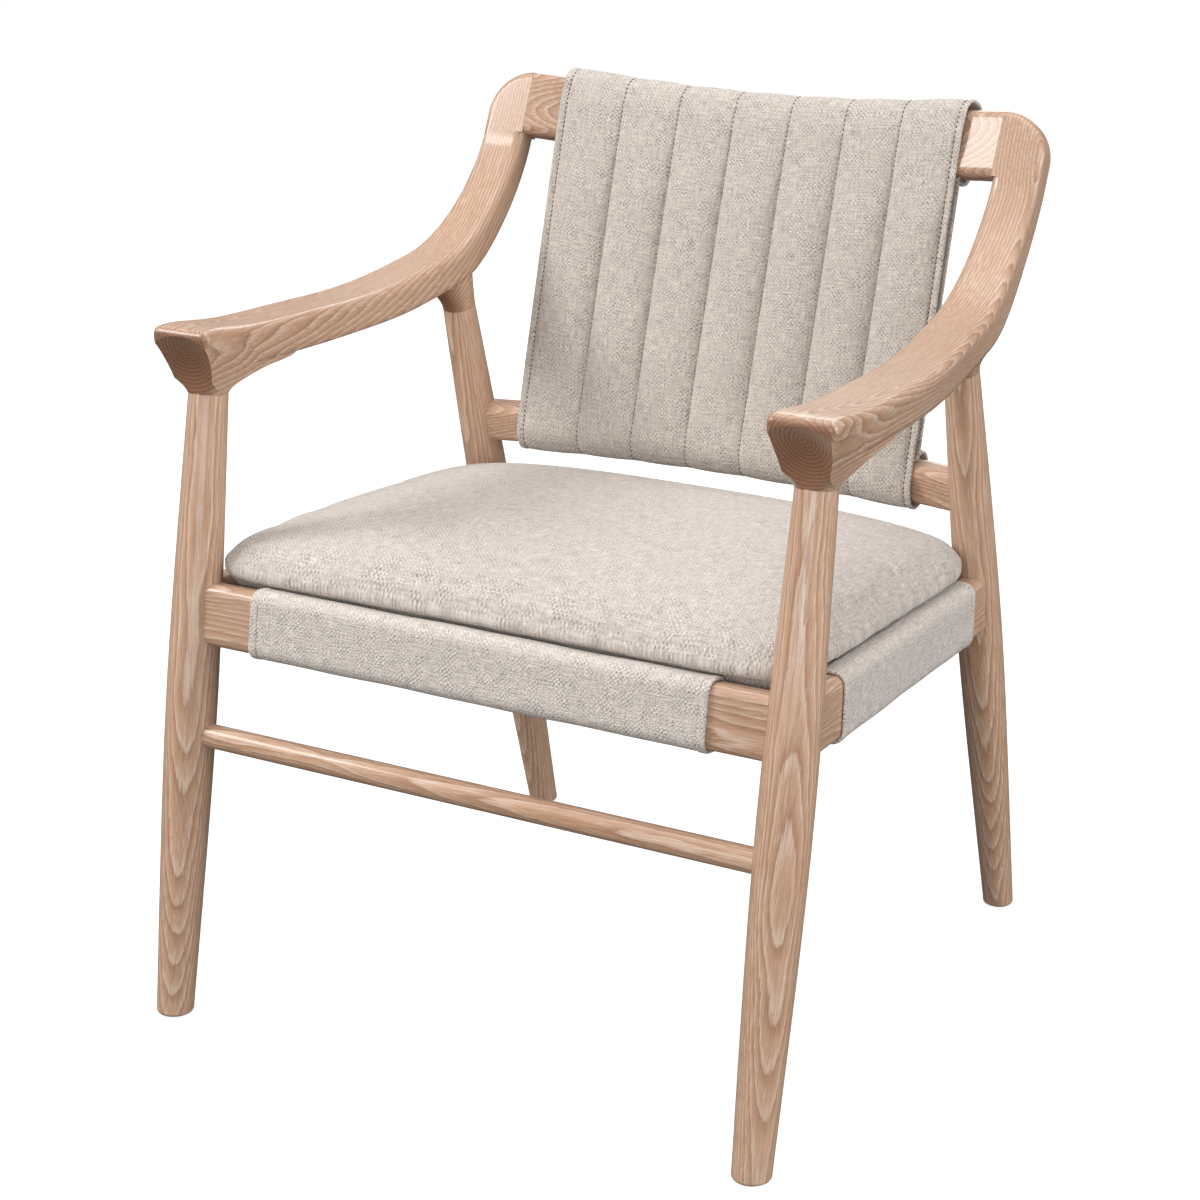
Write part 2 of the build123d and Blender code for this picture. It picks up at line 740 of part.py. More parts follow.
cloth = cloth_gap + fabric
crest_edge = crest_centre - crest_up * (crest_height / 2 - panel_lap)
lower_edge = lower_middle + rear_leg_up * (lower_rail_height / 2 - panel_lap)
with BuildPart() as panel:
    add(panel_edge(crest_edge, crest_up, crest_half_length, crest_bow, -crest_thickness / 2 - cloth))
    add(panel_edge(lower_edge, rear_leg_up, rear_head.X, lower_rail_bow, -rail_thickness / 2 - cloth))
    loft()
with BuildPart() as sling:
    for casing in wrapped_rails(cloth):
        add(casing)
    extent = box(crest_centre, east, Vector(0, 0, 1), (2 * sling_half_width, 1000, 1000))
    add(extent, mode=Mode.INTERSECT)
    add(panel.part)
    for rail in wrapped_rails(cloth_gap):
        add(rail, mode=Mode.SUBTRACT)
save(sling.part, "back_sling")
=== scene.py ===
from math import cos, pi, radians, sin, sqrt

import bmesh
import bpy
import numpy as np
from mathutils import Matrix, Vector


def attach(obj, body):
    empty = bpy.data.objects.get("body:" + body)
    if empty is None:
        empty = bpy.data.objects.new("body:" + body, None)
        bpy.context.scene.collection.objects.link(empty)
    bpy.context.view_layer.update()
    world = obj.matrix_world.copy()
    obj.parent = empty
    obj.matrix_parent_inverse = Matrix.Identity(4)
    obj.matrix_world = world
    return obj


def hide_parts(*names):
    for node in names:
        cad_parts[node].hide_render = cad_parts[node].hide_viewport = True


# Wooden lounge armchair: materials for the wooden frame, and the sewn and padded pieces on it.
# Metres, +X to the right as seen from the front, -Y to the front, +Z up.

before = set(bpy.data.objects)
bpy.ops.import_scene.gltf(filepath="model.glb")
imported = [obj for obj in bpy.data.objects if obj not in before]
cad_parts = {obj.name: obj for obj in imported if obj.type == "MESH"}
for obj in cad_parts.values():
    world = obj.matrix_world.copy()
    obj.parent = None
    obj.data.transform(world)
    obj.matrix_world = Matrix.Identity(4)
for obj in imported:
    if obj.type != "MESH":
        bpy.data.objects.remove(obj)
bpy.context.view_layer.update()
mm = 0.001

# ---------------------------------------------------------------- sizes shared with the CAD model
front_foot = Vector((0.297, -0.299, 0))
front_head = Vector((0.297, -0.2085, 0.565))
rear_foot = Vector((0.2655, 0.302, 0))
rear_head = Vector((0.2655, 0.149, 0.578))
front_up = (front_head - front_foot).normalized()
rear_up = (rear_head - rear_foot).normalized()

rail_thickness = 26 * mm
rail_height = 56 * mm
rail_edge = 9 * mm
front_rail_z = 0.372
rear_rail_z = 0.3455

crest_lean = radians(24)
crest_up = Vector((0, sin(crest_lean), cos(crest_lean)))
crest_back = Vector((0, cos(crest_lean), -sin(crest_lean)))
crest_height = 62 * mm
crest_thickness = 27.5 * mm
crest_centre = Vector((0, 0.252, 0.765)) + crest_back * (crest_thickness / 2)
crest_bow = 25 * mm
crest_half = 0.248

lower_z = 0.457
lower_height = 40 * mm
lower_bow = 19 * mm
lower_half = rear_head.x

sling_half = 0.212
front_sleeve_half = 0.227
rear_sleeve_half = 0.215
side_sleeve_y = (-0.168, 0.155)
seat_front_z = 0.4025
seat_front_y = -0.2356
seat_slope = 0.0566
east = Vector((1, 0, 0))


def leg_point(foot, head, z):
    """Point of a leg's axis at height z."""
    return foot + (head - foot) * (z / head.z)


lower_centre = leg_point(rear_foot, rear_head, lower_z)
lower_centre.x = 0
lower_up = rear_up
lower_back = lower_up.cross(east)


def bow_at(x, half, bow):
    """How far a bowed rail stands back from its chord at x."""
    radius = (half * half + bow * bow) / (2 * bow)
    return bow - radius + sqrt(radius * radius - x * x)


# ---------------------------------------------------------------- camera, light and floor
scene = bpy.context.scene
scene.view_settings.view_transform = "Standard"

camera_place = (1.1933, -2.0875, 1.1709)
camera_turn = 30.154
camera_tilt = 18.596
camera_data = bpy.data.cameras.new("camera")
camera_data.lens = 83.23
camera_data.sensor_width = 36
camera = bpy.data.objects.new("camera", camera_data)
camera.location = camera_place
camera.rotation_euler = (radians(90 - camera_tilt), 0, radians(camera_turn))
scene.collection.objects.link(camera)
scene.camera = camera


def area_light(name, location, aim_height, size, power):
    """Soft square light aimed at a height over the middle of the floor."""
    data = bpy.data.lights.new(name, "AREA")
    data.size = size
    data.energy = power
    light = bpy.data.objects.new(name, data)
    light.location = location
    aim = Vector((0, 0, aim_height)) - Vector(location)
    light.rotation_euler = aim.to_track_quat("-Z", "Y").to_euler()
    scene.collection.objects.link(light)


area_light("key", (-2.7, -1.7, 2.6), 0.45, 1.4, 112)
area_light("top", (0.1, 0.3, 3.0), 0.4, 2.2, 36)
area_light("side", (3.2, 0.2, 1.3), 0.4, 1.6, 58)
area_light("fill", (1.3, -3.2, 1.2), 0.4, 1.8, 58)
area_light("rear", (-1.0, 3.4, 1.9), 0.4, 2.0, 46)

# soft surrounding light, brighter from above than from below
world = bpy.data.worlds.new("studio")
scene.world = world
world.use_nodes = True
sky = world.node_tree
direction = sky.nodes.new("ShaderNodeTexCoord").outputs["Generated"]
upward = sky.nodes.new("ShaderNodeSeparateXYZ")
strength = sky.nodes.new("ShaderNodeMapRange")
for socket, value in (("From Min", -0.35), ("From Max", 0.9), ("To Min", 0.10), ("To Max", 0.52)):
    strength.inputs[socket].default_value = value
sky.links.new(direction, upward.inputs[0])
sky.links.new(upward.outputs[2], strength.inputs["Value"])
sky.links.new(strength.outputs[0], sky.nodes["Background"].inputs["Strength"])
sky.nodes["Background"].inputs["Color"].default_value = (1.0, 1.0, 1.0, 1)


# ---------------------------------------------------------------- material helpers
class Graph:
    """One material and short ways to add nodes to it."""

    def __init__(self, name):
        self.material = bpy.data.materials.new(name)
        self.material.use_nodes = True
        self.tree = self.material.node_tree
        self.shader = self.tree.nodes["Principled BSDF"]

    def node(self, kind, inputs=None, output=0, **settings):
        """Adds a node, sets its fields and sockets, and returns one output."""
        made = self.tree.nodes.new(kind)
        for field, value in settings.items():
            setattr(made, field, value)
        for key, value in (inputs or {}).items():
            self.connect(value, made.inputs[key])
        return made.outputs[output]

    def connect(self, value, socket):
        """Links a socket or sets a plain value."""
        if isinstance(value, bpy.types.NodeSocket):
            self.tree.links.new(value, socket)
        else:
            socket.default_value = value

    def set(self, **sockets):
        """Sets or links sockets of the shader, named with underscores."""
        for name, value in sockets.items():
            self.connect(value, self.shader.inputs[name.replace("_", " ")])

    def math(self, operation, a, b=0.0):
        """Arithmetic on numbers."""
        return self.node("ShaderNodeMath", {0: a, 1: b}, operation=operation)

    def vector(self, operation, a, b=(0, 0, 0), output=0):
        """Arithmetic on vectors; output 1 is the one for a length or a dot product."""
        return self.node("ShaderNodeVectorMath", {0: a, 1: b}, output, operation=operation)

    def noise(self, vector, scale, detail=2.0, roughness=0.5):
        """Soft noise at a scale."""
        inputs = {"Vector": vector, "Scale": scale, "Detail": detail, "Roughness": roughness}
        return self.node("ShaderNodeTexNoise", inputs)

    def wander(self, noise, sizes):
        """Shift in every direction from a noise, up to half of each size."""
        centred = self.vector("SUBTRACT", noise.node.outputs[1], (0.5, 0.5, 0.5))
        return self.vector("MULTIPLY", centred, sizes)

    def stretch(self, vector, scales):
        """The vector with each of its parts scaled."""
        return self.vector("MULTIPLY", vector, scales)

    def remap(self, value, low, high, to_low=0.0, to_high=1.0):
        """Maps the range from low to high onto another one, and holds it there."""
        inputs = {0: value, 1: low, 2: high, 3: to_low, 4: to_high}
        return self.node("ShaderNodeMapRange", inputs, clamp=True)

    def ramp(self, value, stops):
        """Colour ramp from (position, colour) stops."""
        made = self.tree.nodes.new("ShaderNodeValToRGB")
        elements = made.color_ramp.elements
        while len(elements) < len(stops):
            elements.new(0.5)
        for element, (position, colour) in zip(elements, stops):
            element.position = position
            element.color = (*colour, 1)
        self.connect(value, made.inputs[0])
        return made.outputs[0]

    def mix(self, factor, a, b, blend="MIX"):
        """Blends two colours."""
        made = self.tree.nodes.new("ShaderNodeMix")
        made.data_type = "RGBA"
        made.blend_type = blend
        self.connect(factor, made.inputs[0])
        self.connect(a, made.inputs[6])
        self.connect(b, made.inputs[7])
        return made.outputs[2]

    def bump(self, height, strength, distance):
        """Normal from a height."""
        inputs = {"Height": height, "Strength": strength, "Distance": distance}
        return self.node("ShaderNodeBump", inputs)


def srgb(red, green, blue):
    """Linear colour from ordinary 0 to 255 values."""
    values = []
    for part in (red, green, blue):
        part /= 255
        values.append(part / 12.92 if part <= 0.04045 else ((part + 0.055) / 1.055) ** 2.4)
    return tuple(values)


def colour(red, green, blue):
    """The same with an alpha, for a socket."""
    return (*srgb(red, green, blue), 1)


# ---------------------------------------------------------------- wood
# the grain of a bent piece climbs towards the rear with the cube of its depth
arm_rise = 8.4
ring_dark = srgb(172, 129, 98)
ring_light = srgb(204, 166, 137)
ring_middle = srgb(199, 159, 129)
ring_late = srgb(166, 122, 91)
lime = colour(236, 216, 198)
lime_dash = colour(233, 212, 194)
pore_brown = colour(146, 104, 76)
streak_brown = colour(170, 124, 92)
pale_patch = colour(220, 190, 166)
end_grain_shade = colour(182, 154, 135)


def wood(name, along, pith, spacing=2.2 * mm, tone=0.87, bend=False, seed=0.0):
    """Limed oak-like wood: growth rings round a pith line, pale pores and fine fibres.

    along is the grain's direction and pith a point on the line the rings go round.
    """
    g = Graph(name)
    place = g.node("ShaderNodeTexCoord", output=3)
    grain = tuple(Vector(along).normalized())
    if bend:
        parts = g.node("ShaderNodeSeparateXYZ", {0: place})
        behind = g.math("MAXIMUM", parts.node.outputs[1], 0.0)
        square = g.math("MULTIPLY", behind, behind)
        rise = g.math("MULTIPLY", g.math("MULTIPLY", square, behind), arm_rise)
        place = g.vector("SUBTRACT", place, g.node("ShaderNodeCombineXYZ", {2: rise}))
        slope = g.math("MULTIPLY", square, 3 * arm_rise)
        grain = g.vector("NORMALIZE", g.node("ShaderNodeCombineXYZ", {1: 1.0, 2: slope}))
    turn = Vector(along).to_track_quat("Z", "Y").to_euler()
    inputs = {"Vector": place, "Location": pith, "Rotation": turn}
    place = g.node("ShaderNodeMapping", inputs, vector_type="TEXTURE")
    place = g.vector("ADD", place, (seed, seed * 0.37, seed * 1.3))

    slow = g.noise(g.stretch(place, (9, 9, 3.2)), 1.0, 2.0, 0.5)
    sway = g.wander(slow, (17 * mm, 17 * mm, 0))
    quick = g.noise(g.stretch(place, (60, 60, 14)), 1.0, 3.0, 0.6)
    fine = g.wander(quick, (2 * mm, 2 * mm, 0))
    moved = g.vector("ADD", g.vector("ADD", place, sway), fine)
    flat = g.vector("SUBTRACT", g.vector("MULTIPLY", moved, (1, 1, 0)), (seed, seed * 0.37, 0))
    distance = g.vector("LENGTH", flat, output=1)
    ring = g.math("FRACT", g.math("DIVIDE", distance, spacing))

    fibre = g.noise(g.stretch(place, (1250, 1250, 42)), 1.0, 3.0, 0.62)
    streak = g.noise(g.stretch(place, (420, 420, 9)), 1.0, 2.0, 0.5)
    patch = g.noise(g.stretch(place, (16, 16, 5)), 1.0, 2.0, 0.5)

    base = g.ramp(ring, [(0.0, ring_dark), (0.16, ring_light), (0.6, ring_middle), (1.0, ring_late)])
    early = g.ramp(ring, [(0.0, (0.3, 0.3, 0.3)), (0.10, (1, 1, 1)), (0.26, (0.5, 0.5, 0.5)),
                          (0.42, (0, 0, 0)), (1.0, (0.05, 0.05, 0.05))])
    limed = g.math("MULTIPLY", early, g.remap(fibre, 0.38, 0.62, 0.3, 1.0))
    body = g.mix(g.math("MULTIPLY", limed, 0.72), base, lime)
    dashes = g.remap(fibre, 0.56, 0.68)
    body = g.mix(g.math("MULTIPLY", dashes, 0.5), body, lime_dash)
    pores = g.remap(fibre, 0.45, 0.32)
    body = g.mix(g.math("MULTIPLY", pores, 0.62), body, pore_brown)
    body = g.mix(g.remap(streak, 0.42, 0.70, 0.0, 0.30), body, streak_brown)
    body = g.mix(g.remap(patch, 0.3, 0.7, 0.0, 0.20), body, pale_patch)
    facing = g.node("ShaderNodeNewGeometry", output=1)
    along_grain = g.vector("DOT_PRODUCT", facing, grain, output=1)
    end_grain = g.remap(g.math("ABSOLUTE", along_grain), 0.45, 0.95, 0.0, 0.9)
    body = g.mix(end_grain, body, end_grain_shade, "MULTIPLY")
    # each piece's tone darkens its whole colour; on the front seat rail this darkening is painted
    # shade
    body = g.mix(1.0, body, (tone, tone, tone, 1), "MULTIPLY")

    rough = g.math("ADD", g.math("MULTIPLY", limed, 0.12), g.remap(fibre, 0.3, 0.7, 0.42, 0.56))
    height = g.math("ADD", g.math("MULTIPLY", limed, -0.5), g.math("MULTIPLY", fibre, 0.7))
    g.set(Base_Color=body, Roughness=rough, Normal=g.bump(height, 0.35, 0.25 * mm))
    g.set(Coat_Weight=0.42, Coat_Roughness=0.13, Specular_IOR_Level=0.4)
    return g.material


# ---------------------------------------------------------------- cloth
yarn_pitch = 2.1 * mm


def shaded(base, factor):
    """A colour made darker or lighter, with an alpha."""
    return (*(min(1.0, part * factor) for part in base), 1)


def linen(name, base, use_uv, seed, relief_shade_contrast=1.1):
    """Slubby plain-weave cloth. The weave lies along the UV map, in metres, or along X and Y."""
    g = Graph(name)
    if use_uv:
        place = g.node("ShaderNodeUVMap", uv_map="cloth")
    else:
        place = g.node("ShaderNodeTexCoord", output=3)
    place = g.vector("ADD", place, (seed, seed * 1.7, 0))
    loose = g.noise(g.stretch(place, (95, 95, 95)), 1.0, 3.0, 0.6)
    shifted = g.vector("ADD", place, g.wander(loose, (5.6 * mm, 5.6 * mm, 0)))
    parts = g.node("ShaderNodeSeparateXYZ", {0: shifted}).node
    turns = pi / yarn_pitch
    warp = g.math("SINE", g.math("MULTIPLY", parts.outputs[0], turns))
    weft = g.math("SINE", g.math("MULTIPLY", parts.outputs[1], turns))
    weave = g.math("MULTIPLY", warp, weft)
    strength = g.noise(g.stretch(place, (70, 70, 70)), 1.0, 2.0, 0.5)
    weave = g.math("MULTIPLY", weave, g.remap(strength, 0.38, 0.66, 0.10, 1.0))
    warp_slub = g.noise(g.stretch(place, (700, 75, 0)), 1.0, 2.0, 0.55)
    weft_slub = g.noise(g.stretch(place, (75, 700, 0)), 1.0, 2.0, 0.55)
    fuzz = g.noise(g.stretch(place, (1100, 1100, 1100)), 1.0, 2.0, 0.6)
    cloudy = g.noise(g.stretch(place, (24, 24, 24)), 1.0, 3.0, 0.55)

    slub = g.math("ADD", warp_slub, weft_slub)
    height = g.math("ADD", g.math("MULTIPLY", weave, 0.42), g.math("MULTIPLY", slub, 1.05))
    height = g.math("ADD", height, g.math("MULTIPLY", fuzz, 0.5))
    # colour follows the height of the weave and slubs: the yarns' own slub colour plus painted shade,
    # darker in the hollows and lighter on the crests
    light = g.remap(height, 0.80, 1.75)
    low = shaded(base, 1 - 0.50 * relief_shade_contrast)
    high = shaded(base, 1 + 0.26 * relief_shade_contrast)
    body = g.mix(light, low, high)
    body = g.mix(g.remap(cloudy, 0.3, 0.7, 0.0, 0.22), body, shaded(base, 0.84))
    g.set(Base_Color=body, Roughness=0.92, Specular_IOR_Level=0.2)
    g.set(Sheen_Weight=0.2, Sheen_Roughness=0.5, Normal=g.bump(height, 1.0, 1.1 * mm))
    return g.material


def plain(name, first, second, roughness, scale, metallic=0.0, bump=0.1):
    """Simple finish mottled between two colours, for small and hidden pieces."""
    g = Graph(name)
    place = g.node("ShaderNodeTexCoord", output=3)
    spots = g.noise(place, scale, 3.0, 0.6)
    g.set(Base_Color=g.mix(g.remap(spots, 0.35, 0.65), first, second), Metallic=metallic)
    g.set(Roughness=g.remap(spots, 0.3, 0.7, roughness - 0.08, roughness + 0.08))
    g.set(Normal=g.bump(spots, bump, 0.2 * mm))
    return g.material


def paint(node, material):
    """Gives a CAD node's object one material."""
    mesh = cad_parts[node].data
    mesh.materials.clear()
    mesh.materials.append(material)


# ---------------------------------------------------------------- materials on the wooden frame
def pith_beside(point, across, depth):
    """A pith point beside a piece: across is a horizontal direction, depth how far away it is."""
    return tuple(Vector(point) + Vector(across).normalized() * depth)


def wooden(node, along, pith, **settings):
    """Gives one wooden node its own wood."""
    paint(node, wood(f"wood_{node}", along, pith, **settings))


for side, name in ((1, "right"), (-1, "left")):
    flip = Vector((side, 1, 1))
    front_axis = front_up + Vector((0.028 * side, 0.02, 0))
    rear_axis = rear_up + Vector((-0.02 * side, 0.025, 0))
    front_pith = pith_beside(leg_point(front_foot, front_head, 0.3) * flip, (-0.5, 0.9, 0), 0.036)
    rear_pith = pith_beside(leg_point(rear_foot, rear_head, 0.3) * flip, (-0.3 * side, 1, 0), 0.034)
    wooden(f"front_leg_{name}", front_axis, front_pith, seed=3.1 + side)
    wooden(f"rear_leg_{name}", rear_axis, rear_pith, seed=5.3 + side)
    wooden(f"arm_{name}", (0.05 * side, 1, 0.06), (0.300 * side, -0.2, 0.612),
           spacing=3.3 * mm, tone=0.77, bend=True, seed=8.2 + side)
    wooden(f"side_seat_rail_{name}", (-0.07 * side, 1, -0.06), (0.25 * side, 0, 0.33),
           seed=1.7 + side)

# the front seat rail's lower tone is painted shade, for the shadow at its ends beside the legs
wooden("front_seat_rail", (1, 0.03, 0.03), (0, -0.19, 0.34), tone=0.80, seed=12.4)
wooden("rear_seat_rail", (1, 0.03, -0.03), (0, 0.16, 0.31), seed=14.9)
wooden("front_stretcher", (1, 0.02, 0.015), (0, -0.235, 0.25), seed=16.2)
wooden("crest_rail", (1, 0.04, 0.03), (0, 0.31, 0.74), tone=0.74, seed=18.8)
wooden("lower_back_rail", (1, -0.03, 0.04), (0, 0.22, 0.44), seed=21.3)

block_wood = wood("wood_block", (1, 0.1, 0.05), (0, 0, 0.3), spacing=3.4 * mm, tone=0.82, seed=24.0)
for corner in ("front_right", "front_left", "rear_right", "rear_left"):
    paint(f"corner_block_{corner}", block_wood)
dowel_wood = wood("wood_dowel", (1, 0.02, 0.02), (0, 0, 0.3), spacing=1.6 * mm, seed=27.0)
for group in ("front_rail", "rear_rail", "lower_rail", "side_rail", "crest"):
    paint(f"{group}_dowels", dowel_wood)
steel = plain("zinc_steel", colour(168, 170, 172), colour(140, 142, 146), 0.38, 60, metallic=1.0)
paint("corner_block_screws", steel)
paint("webbing_clips", steel)
paint("foot_glides", plain("glide_plastic", colour(46, 42, 38), colour(34, 31, 29), 0.55, 400))
foam = plain("foam", colour(238, 228, 196), colour(222, 208, 170), 0.95, 900, bump=0.6)
paint("seat_cushion_foam", foam)
rib_pitch = 4 * mm
weave_pitch = 1.8 * mm


def webbing_material(name, across):
    """Rubberised webbing: ribs along the strap and a fine weave across it."""
    g = Graph(name)
    place = g.node("ShaderNodeTexCoord", output=3)
    parts = g.node("ShaderNodeSeparateXYZ", {0: place}).node
    rib = g.math("SINE", g.math("MULTIPLY", parts.outputs[across], 2 * pi / rib_pitch))
    weave = g.math("SINE", g.math("MULTIPLY", parts.outputs[1 - across], 2 * pi / weave_pitch))
    height = g.math("ADD", rib, g.math("MULTIPLY", weave, 0.4))
    body = g.mix(g.remap(height, -1.0, 1.0), colour(38, 33, 29), colour(92, 80, 68))
    g.set(Base_Color=body, Roughness=0.8)
    g.set(Normal=g.bump(height, 0.5, 0.3 * mm))
    return g.material


paint("webbing_cross", webbing_material("webbing_cross", 1))
paint("webbing_long", webbing_material("webbing_long", 0))


# ---------------------------------------------------------------- mesh helpers
def link(name, mesh, material):
    """Makes an object that rides on the chair from a mesh."""
    piece = bpy.data.objects.new(name, mesh)
    scene.collection.objects.link(piece)
    mesh.materials.append(material)
    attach(piece, "root")
    return piece


def ring_faces(count, width):
    """Faces between rows of points that each close on themselves."""
    faces = []
    for i in range(count - 1):
        for j in range(width):
            k = (j + 1) % width
            faces.append((i * width + j, i * width + k, (i + 1) * width + k, (i + 1) * width + j))
    return faces


def grid_mesh(name, rows, uv):
    """Closed mesh from rows of points that each close on themselves, capped at both ends."""
    count, width = rows.shape[:2]
    faces = ring_faces(count, width)
    faces.append(tuple(reversed(range(width))))
    faces.append(tuple((count - 1) * width + j for j in range(width)))
    mesh = bpy.data.meshes.new(name)
    mesh.from_pydata([tuple(p) for p in rows.reshape(-1, 3)], [], faces)
    mesh.update()
    layer = mesh.uv_layers.new(name="cloth")
    flat_uv = uv.reshape(-1, 2)
    index = np.empty(len(mesh.loops), dtype=np.int64)
    mesh.loops.foreach_get("vertex_index", index)
    layer.data.foreach_set("uv", flat_uv[index].astype(np.float32).ravel())
    finish_faces(mesh)
    return mesh


def finish_faces(mesh):
    """Shades all faces of a closed mesh smooth and turns them outwards."""
    mesh.polygons.foreach_set("use_smooth", [True] * len(mesh.polygons))
    work = bmesh.new()
    work.from_mesh(mesh)
    bmesh.ops.recalc_face_normals(work, faces=work.faces)
    work.to_mesh(mesh)
    work.free()


def shell(outer, inside, push):
    """Rows of a closed shell from the stations of its two faces, with a lip at both ends."""
    last_lip = (outer[-1] + inside[-1]) / 2 + push
    first_lip = (outer[0] + inside[0]) / 2 - push
    ring = np.concatenate([outer, last_lip[None], inside[::-1], first_lip[None]])
    return ring.transpose(1, 0, 2)


def lengths_along(points):
    """Distance of each point along a path."""
    gaps = np.linalg.norm(np.diff(points, axis=0), axis=1)
    return np.concatenate([[0], np.cumsum(gaps)])


def stitches(name, runs, pitch, length, radius, material):
    """Short threads laid along runs of (points, normals)."""
    verts = []
    faces = []
    around = 6
    steps = 4
    for points, normals in runs:
        along = lengths_along(points)
        for start in np.arange(pitch / 2, along[-1] - pitch / 2, pitch):
            where = start + np.linspace(0, length, steps)
            centre = np.stack([np.interp(where, along, points[:, k]) for k in range(3)], 1)
            up = np.stack([np.interp(where, along, normals[:, k]) for k in range(3)], 1)
            up /= np.linalg.norm(up, axis=1)[:, None]
            way = centre[-1] - centre[0]
            way /= np.linalg.norm(way)
            base = len(verts)
            for k in range(steps):
                t = k / (steps - 1)
                size = radius * (0.35 + 0.65 * sin(pi * t))
                sink = radius * (0.7 - 1.1 * sin(pi * t))
                side = np.cross(way, up[k])
                for a in range(around):
                    angle = 2 * pi * a / around
                    spot = side * (size * cos(angle)) + up[k] * (size * sin(angle) - sink)
                    verts.append(tuple(centre[k] + spot))
            for k in range(steps - 1):
                for a in range(around):
                    b = (a + 1) % around
                    faces.append((base + k * around + a, base + k * around + b,
                                  base + (k + 1) * around + b, base + (k + 1) * around + a))
            faces.append(tuple(base + a for a in reversed(range(around))))
            faces.append(tuple(base + (steps - 1) * around + a for a in range(around)))
    mesh = bpy.data.meshes.new(name)
    mesh.from_pydata(verts, [], faces)
    finish_faces(mesh)
    return link(name, mesh, material)


def arc(centre, radius, first, last, steps):
    """Points of an arc in a plane, angles in degrees, first and last included."""
    angles = np.radians(np.linspace(first, last, steps))
    return [(centre[0] + radius * cos(a), centre[1] + radius * sin(a)) for a in angles]


def line(start, end, steps):
    """Evenly spaced points between two points, both left out."""
    return [(start[0] + (end[0] - start[0]) * t, start[1] + (end[1] - start[1]) * t)
            for t in np.linspace(0, 1, steps + 2)[1:-1]]


# ---------------------------------------------------------------- cloth materials
back_cloth = linen("linen_back", srgb(198, 188, 179), True, 0.0)
seat_cloth = linen("linen_seat", srgb(204, 194, 186), False, 4.0)
rail_cloth = linen("linen_rails", srgb(212, 202, 194), True, 9.0)
thread = plain("sewing_thread", colour(112, 98, 85), colour(88, 76, 65), 0.85, 500)

# ---------------------------------------------------------------- slung back
cloth = 2.4 * mm
ease = 0.3 * mm
channels = 7
channel_rise = 12 * mm
rear_rise = 1.6 * mm
hem_width = 7 * mm
inner = sling_half - hem_width
sling_gap = 8.5 * mm
edge_round = 2.2 * mm
east_push = np.array([0.6 * mm, 0, 0])
per_channel = 18
over_top = 22
past_panel = 18


def half_cloth(from_edge, least=0.05):
    """Half of the cloth's thickness, rounded off towards its edge."""
    edge = min(1.0, from_edge / edge_round)
    return cloth / 2 * sqrt(max(least, 1 - (1 - edge) ** 2))


def crest_frame(x):
    """Centre of the crest rail at x, as a point with its rear and up directions."""
    return crest_centre + crest_back * bow_at(x, crest_half, crest_bow), crest_back, crest_up


def lower_frame(x):
    """Centre of the lower back rail at x, as a point with its rear and up directions."""
    return lower_centre + lower_back * bow_at(x, lower_half, lower_bow), lower_back, lower_up


def place(frame_at, spots):
    """Points (Y, Z) in the side view from points given back and up from a rail's centre."""
    centre, back, up = frame_at
    return [(centre.y + back.y * b + up.y * u, centre.z + back.z * b + up.z * u) for b, u in spots]


def loop(half_thickness, half_height, slack, radii):
    """Corner centres and radii of a cloth loop round a rail, from the front top corner and on over
    the rear. slack is how far it stands off in front, above, behind and below."""
    out = ease + cloth / 2
    front, top, rear, bottom = slack
    f = half_thickness + out + front
    r = half_thickness + out + rear
    t = half_height + out + top
    b = half_height + out + bottom
    ft, rt, rb, fb = radii
    return {"front_top": (-f + ft, t - ft, ft), "rear_top": (r - rt, t - rt, rt),
            "rear_bottom": (r - rb, -b + rb, rb), "front_bottom": (-f + fb, -b + fb, fb)}


def crest_loop_at(x):
    """Loop round the crest rail, tight in the middle and looser towards both edges of the cloth."""
    above = 2 * mm + 6 * mm * (x / sling_half) ** 2
    return loop(crest_thickness / 2, crest_height / 2, (3.5 * mm, above, 6.5 * mm, 1.5 * mm),
                (18 * mm, 15 * mm, 13 * mm, 42 * mm))


lower_loop = loop(rail_thickness / 2, lower_height / 2, (6 * mm, 1.5 * mm, 7.5 * mm, 1.5 * mm),
                  (30 * mm, 12 * mm, 14 * mm, 14 * mm))


def corner_arc(corner, first, last, steps):
    """Arc of a loop's corner."""
    return arc(corner[:2], corner[2], first, last, steps)


